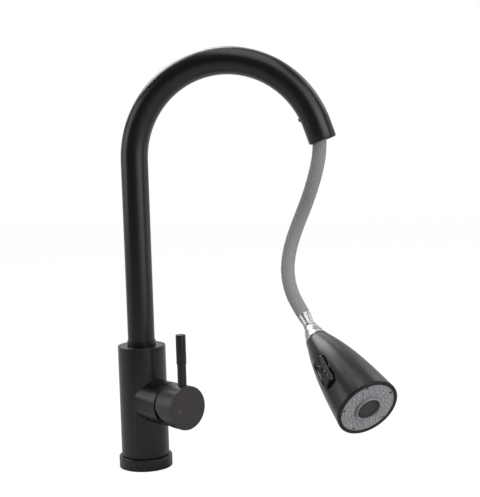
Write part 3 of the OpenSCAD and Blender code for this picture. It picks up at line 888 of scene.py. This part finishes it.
def makeFerrule(look):
    outline = [(5.2, -33.9), (6.2, -34), (6.75, -33.7), (6.85, -33.2), (6.8, -32.6), (6.45, -32.2),
               (6.4, -31.7), (6.45, -31), (6.2, -28.5), (5.85, -25.5), (5.6, -22.6), (5.5, -21.4),
               (5.2, -20.9), (0, -20.9)]
    heights = rounded(outline, [0] + [0.25] * (len(outline) - 2) + [0], 3)
    verts, faces = turned(heights, 120)
    shaped = []
    for x, y, z in verts:
        r = math.hypot(x, y)
        fadeIn = max(0.0, min(1.0, (z - look["fluteFrom"]) / look["fluteFade"]))
        fadeOut = max(0.0, min(1.0, (look["fluteTo"] - z) / look["fluteFade"]))
        wave = 0.5 - 0.5 * math.cos(look["flutes"] * math.atan2(y, x))
        press = look["fluteDepth"] * (fadeIn * fadeOut) * wave if r > 1 else 0
        shaped.append((x * (1 - press / max(r, 1)), y * (1 - press / max(r, 1)), z))
    piece("hoseFerrule", shaped, faces, "hose_end", "chrome", ["hose_ferrule"], place=hoseEnd)


def makeBall(look):
    dome = arcPoints((0, 0), look["ball"], look["domeFrom"], look["domeTo"], 32)
    cone = [(0, -18.35), (5.6, -18.35), (6.2, -17.6), (7.3, -15.2), (8.5, -12.2), (9.5, -8.8)]
    outline = cone + dome + [(0, dome[-1][1])]
    piece("swivelBall", *turned(outline, 128), "ball", "chrome", ["swivel_ball"], place=hoseEnd)
    bore, radius, low, top = look["collarBore"], look["collarRadius"], look["collarFrom"], look["collarTo"]
    ring = rounded([(bore, low), (radius, low), (radius, top), (bore, top)], [0, 0.7, 0.7, 0])
    piece("swivelCollar", *turned(ring, 96, closed=True), "ball", "chrome", ["swivel_collar"], place=hoseEnd)


makeFerrule(jointLook)
makeBall(jointLook)
print("ball joint is made")

# spray head

headLook = {
    "length": 100.5,       # from the ball's middle to the face
    "face": 30.9,          # the shell's radius at the face, and how it narrows behind it
    "taper": 0.1063,
    "narrowing": 0.0000084,
    "wall": 2.0,
    "rim": 2.2,
    "mouth": 11.9,
    "plate": 27.4,
    "recess": 0.6,
    "band": (14.4, 24.4),  # shallow ring in the plate that the nozzles stand in
    "bandDepth": 0.12,
    "latches": 5,          # round the plate's edge
    "latchAngle": -18.3,
    "latchRadius": 25.3,
    "latch": (2.0, 2.6, 0.8),  # length, width and corner, and the same of its slot
    "latchSlot": (2.2, 2.8, 0.9),
    "sides": 256,
}
aeratorLook = {
    "radius": 12.75,
    "bore": 11.3,
    "proud": 2.1,
    "depth": 8.0,          # behind the face
    "turn": 20,            # of the mesh, in degrees
    "wire": 0.27,          # half a wire's thickness
    "pitch": 1.5,
    "ring": 0.22,          # half the thickness of the two bright rings
}
nozzleLook = {
    "rings": [(16.0, 12, 0.0), (19.4, 18, 1 / 3), (22.7, 24, 2 / 3)],  # radius, count, turn in steps
    "hole": 1.42,          # in the plate
    "radius": 1.2,
    "tip": 0.95,
    "bore": 0.5,
    "boreFloor": 0.2,
    "proud": 0.75,
    "depth": 1.5,
}
buttonLook = {
    "az": -109.0,          # round the head, and back from the face
    "back": 47.5,
    "length": 38.0,
    "width": 13.9,
    "corner": 5.2,
    "gap": 1.1,
    "sideGap": 1.0,
    "bezel": 0.8,
    "bezelCorner": 6.2,
    "bezelDepth": 4.0,
    "cutCorner": 7.0,
    "cutReach": 7.0,
    "lean": 3.5,           # degrees
    "top": 3.0,
    "depth": 3.4,
    "border": 1.1,         # round the dish, which fades in over the next length
    "fade": 3.0,
    "endBorder": 2.5,
    "dish": 1.3,
    "rim": 0.9,
    "rings": 26,           # loops of the upper face inside its rim
    "count": 240,
}
markLook = {
    "ovalAt": -11.2,
    "oval": (4.0, 2.1),
    "ovalLift": 0.35,
    "dotAt": (-13.2, 0.3),
    "dotLift": 0.7,
    "padAt": 4.5,
    "pad": 3.2,
    "padLift": 0.9,
}


def shellRadius(back):
    return headLook["face"] - headLook["taper"] * back - headLook["narrowing"] * back ** 3


shellSlope = math.atan((shellRadius(buttonLook["back"] - 10) - shellRadius(buttonLook["back"] + 10)) / 20)
buttonPlace = (shellRadius(buttonLook["back"]), 0, headLook["length"] - buttonLook["back"])
buttonInHead = (Matrix.Rotation(math.radians(buttonLook["az"]), 4, "Z")
                @ Matrix.Translation(buttonPlace)
                @ Matrix.Rotation(shellSlope + math.radians(90), 4, "Y")
                @ Matrix.Rotation(math.radians(180), 4, "Z"))
buttonFrame = head @ buttonInHead


def shellLift(x, y):  # height of the shell's surface over the button's own plane
    z = 0.0
    for _ in range(8):
        p = buttonInHead @ Vector((x, y, z))
        z += shellRadius(headLook["length"] - p.z) - math.hypot(p.x, p.y)
    return z


def makeShell(look):
    steps = 60
    outer = [(shellRadius(look["length"] - z), z) for z in
             [1.0 + (look["length"] - look["rim"] - 1.0) * k / steps for k in range(steps + 1)]]
    lip = [(look["mouth"], 0.5), (look["mouth"] + 0.02, 0.15), (look["mouth"] + 0.2, 0.0)]
    inner = [(max(r - look["wall"], look["mouth"]), z) for r, z in outer[::-1]]
    shell = piece("headShell", *turned(lip + outer + inner, look["sides"], closed=True), "head", "satin_grey",
                  ["head_shell"], place=head, ride=False)
    button = buttonLook
    loop = stadiumLoop(button["length"] + 2 * (button["gap"] + button["bezel"]),
                       button["width"] + 2 * (button["sideGap"] + button["bezel"]), button["cutCorner"], 120)
    cut(shell, scratch(upright(loop, -button["cutReach"], button["cutReach"]), buttonFrame))
    tidyNormals(shell, 30)
    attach(shell, "head")


def makeBezel(look):
    length, width = look["length"] + 2 * look["gap"], look["width"] + 2 * look["sideGap"]
    wall, low = look["bezel"], -look["bezelDepth"]
    steps = [(wall - 0.02, low), (wall - 0.02, -0.1), (wall - 0.1, 0.12), (wall * 0.5, 0.3), (0.1, 0.2),
             (0, 0.0), (0, low)]
    loops = []
    for grow, lift in steps:
        loop = stadiumLoop(length + 2 * grow, width + 2 * grow, look["bezelCorner"] + grow, look["count"])
        loops.append([(x, y, low if lift == low else shellLift(x, y) + lift) for x, y in loop])
    piece("buttonBezel", *lofted(loops, closed=True), "head", "gloss_black", ["button_bezel"],
          place=buttonFrame)


def buttonLean(x):  # at rest the end near the face stands out
    return math.tan(math.radians(buttonLook["lean"])) * x


def buttonTop(x, y):  # height of the button's upper face over its own plane, dished inside a straight border
    look = buttonLook
    across = max(0.0, min(1.0, (look["width"] / 2 - look["border"] - abs(y)) / look["fade"]))
    along = max(0.0, 1 - (x / (look["length"] / 2 - look["endBorder"])) ** 2)
    dish = look["dish"] * across * across * (3 - 2 * across) * along
    return look["top"] - dish + buttonLean(x)


def buttonMarks(x, y):  # two plain marks: an oval ring with a dot in it, and a round pad
    look = markLook
    oval = math.hypot((x - look["ovalAt"]) / look["oval"][0], y / look["oval"][1])
    hollow = look["ovalLift"] / (1 + math.exp((oval - 0.7) / 0.08))
    ring = look["ovalLift"] * math.exp(-((oval - 1) / 0.25) ** 2) - hollow
    dotX, dotY = look["dotAt"]
    dot = look["dotLift"] * math.exp(-((x - dotX) ** 2 + (y - dotY) ** 2) / 0.5)
    pad = look["padLift"] * max(0.0, 1 - ((x - look["padAt"]) ** 2 + y ** 2) / look["pad"] ** 2) ** 0.5
    return ring + dot + pad


def makeButton(look):
    half, rim, rings = look["width"] / 2, look["rim"], look["rings"]
    edge = stadiumLoop(look["length"], look["width"], look["corner"], look["count"])
    loops = [[(x, y, buttonLean(x) - look["depth"]) for x, y in edge]]
    insets = [(0.0, -1.1), (0.08, -0.7), (0.3, -0.35), (0.6, -0.12), (rim, 0.0)]
    insets += [(rim + (half - rim - 0.05) * k / rings, 0.0) for k in range(1, rings + 1)]
    for inset, drop in insets:
        shareX, shareY = 1 - 2 * inset / look["length"], 1 - inset / half
        loop = [(x * shareX, y * shareY) for x, y in edge]
        marks = [buttonMarks(x, y) if inset >= rim else 0 for x, y in loop]
        loops.append([(x, y, buttonTop(x, y) + drop + mark) for (x, y), mark in zip(loop, marks)])
    piece("modeButton", *lofted(loops, True, True), "button", "gloss_black", ["mode_button"],
          place=buttonFrame, material=buttonPaint, smooth=50)


def latchTurns():  # where the latches of the face lie
    step = 360 / headLook["latches"]
    return [Matrix.Rotation(math.radians(headLook["latchAngle"] + step * k), 4, "Z")
            @ Matrix.Translation((headLook["latchRadius"], 0, 0)) for k in range(headLook["latches"])]


def makeFaceRim(look):
    bore, edge = look["plate"] + 0.05, look["face"] - 0.07  # just inside the solid model's own rim
    top, low = look["length"] - 0.02, look["length"] - look["rim"]
    outline = rounded([(bore, low), (edge - 0.5, low), (edge, low + 0.35), (edge, top), (bore, top)],
                      [0, 0.2, 0.2, 1.5, 0.7])
    plate = top - look["recess"]
    latch = upright(stadiumLoop(*look["latch"], 24), plate - 2.8, plate - 0.3)
    parts = [turned(outline, 192, closed=True)] + [placed(latch, turn) for turn in latchTurns()]
    piece("faceRim", *joined(parts), "head", "gloss_black", ["face_rim"], place=head)


def nozzleTurns():  # where the nozzles stand
    return [Matrix.Rotation(2 * math.pi * (k + shift) / count, 4, "Z") @ Matrix.Translation((radius, 0, 0))
            for radius, count, shift in nozzleLook["rings"] for k in range(count)]


def makeFacePlate(look):
    top = look["length"] - look["recess"]
    floor, band = top - look["bandDepth"], look["band"]
    bore, radius = aeratorLook["radius"] + 0.15, look["plate"]
    outline = [(bore, top - 3), (radius, top - 3), (radius, top - 0.2), (radius - 0.2, top), (band[1], top),
               (band[1] - 0.2, floor), (band[0] + 0.2, floor), (band[0], top), (bore + 0.15, top),
               (bore, top - 0.15)]
    plate = piece("facePlate", *turned(outline, 192, closed=True), "head", "grey_plastic", ["face_plate"],
                  place=head, ride=False)
    radius = nozzleLook["hole"]
    hole = turned([(0, top - 2.5), (radius, top - 2.5), (radius, top + 1), (0, top + 1)], 16)
    cut(plate, scratch(joined([placed(hole, turn) for turn in nozzleTurns()]), head))
    slot = upright(stadiumLoop(*look["latchSlot"], 24), top - 2.9, top + 1)
    cut(plate, scratch(joined([placed(slot, turn) for turn in latchTurns()]), head))
    tidyNormals(plate, 30)
    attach(plate, "head")


def makeNozzles(look):
    plate = headLook["length"] - headLook["recess"]
    low, top, floor = plate - look["depth"], plate + look["proud"], plate + look["boreFloor"]
    cup = rounded([(0, low), (look["radius"], low), (look["radius"], plate + 0.1), (look["tip"], top),
                   (look["bore"] + 0.05, top), (look["bore"], floor), (0, floor)],
                  [0, 0, 0.2, 0.25, 0.1, 0, 0], 3)
    nozzles = [placed(turned(cup, 20), turn) for turn in nozzleTurns()]
    piece("sprayNozzles", *joined(nozzles), "head", "grey_rubber", ["nozzle_mat"], place=head)


def meshWires(look, reach, level, turn):  # one layer of parallel wires inside a circle
    corners = [2 * math.pi * j / 6 for j in range(6)]
    section = [(look["wire"] * math.cos(a), look["wire"] * math.sin(a)) for a in corners]
    spin = Matrix.Rotation(math.radians(turn), 4, "Z")
    rows = int(reach / look["pitch"])
    wires = []
    for k in range(-rows, rows + 1):
        offset = k * look["pitch"]
        half = math.sqrt(max(reach ** 2 - offset ** 2, 0)) - 0.1
        if half >= 1:
            loops = [[(x, offset + a, level + b) for a, b in section] for x in (-half, half)]
            wires.append(placed(lofted(loops, True, True), spin))
    return wires


def makeAerator(look):
    radius, bore = look["radius"], look["bore"]
    low, top = headLook["length"] - look["depth"], headLook["length"] + look["proud"]
    outline = rounded([(bore, low), (radius, low), (radius, top - 0.5), (radius - 0.4, top),
                       (bore + 0.2, top), (bore, top - 0.5)], [0, 0, 0.3, 0.3, 0.15, 0.2])
    piece("aeratorRing", *turned(outline, 128, closed=True), "head", "grey_plastic", ["aerator_ring"],
          place=head)
    rim = bore - 0.9
    seat = rounded([(0, top - 4), (bore - 0.1, top - 4), (bore - 0.15, top - 1.6), (rim, top - 1.3),
                    (rim - 0.3, top - 2.2), (0, top - 2.2)], [0, 0, 0.2, 0.2, 0.2, 0])
    parts = [turned(seat, 96)]
    angles = [math.pi * j / 4 for j in range(8)]
    for middle in (rim - 0.3, rim - 1.7):  # two bright rings inside the edge
        ring = [(middle + look["ring"] * math.cos(a), top - 1.6 + look["ring"] * math.sin(a)) for a in angles]
        parts.append(turned(ring, 96, closed=True))
    parts += meshWires(look, rim, top - 2.0, look["turn"])
    parts += meshWires(look, rim, top - 1.8, look["turn"] + 90)
    piece("aeratorMesh", *joined(parts), "head", "dark_mesh", ["aerator_mesh"], place=head)


makeShell(headLook)
makeBezel(buttonLook)
makeButton(buttonLook)
makeFaceRim(headLook)
makeFacePlate(headLook)
makeNozzles(nozzleLook)
makeAerator(aeratorLook)
print("spray head is made")

# finishes of the solid model's own pieces, most of them inside

for part in frame["record"]["subparts"]:
    solid = frame["nodes"][part["node"]]
    solid.data.materials.clear()
    solid.data.materials.append(paints[part["material_slot"]])
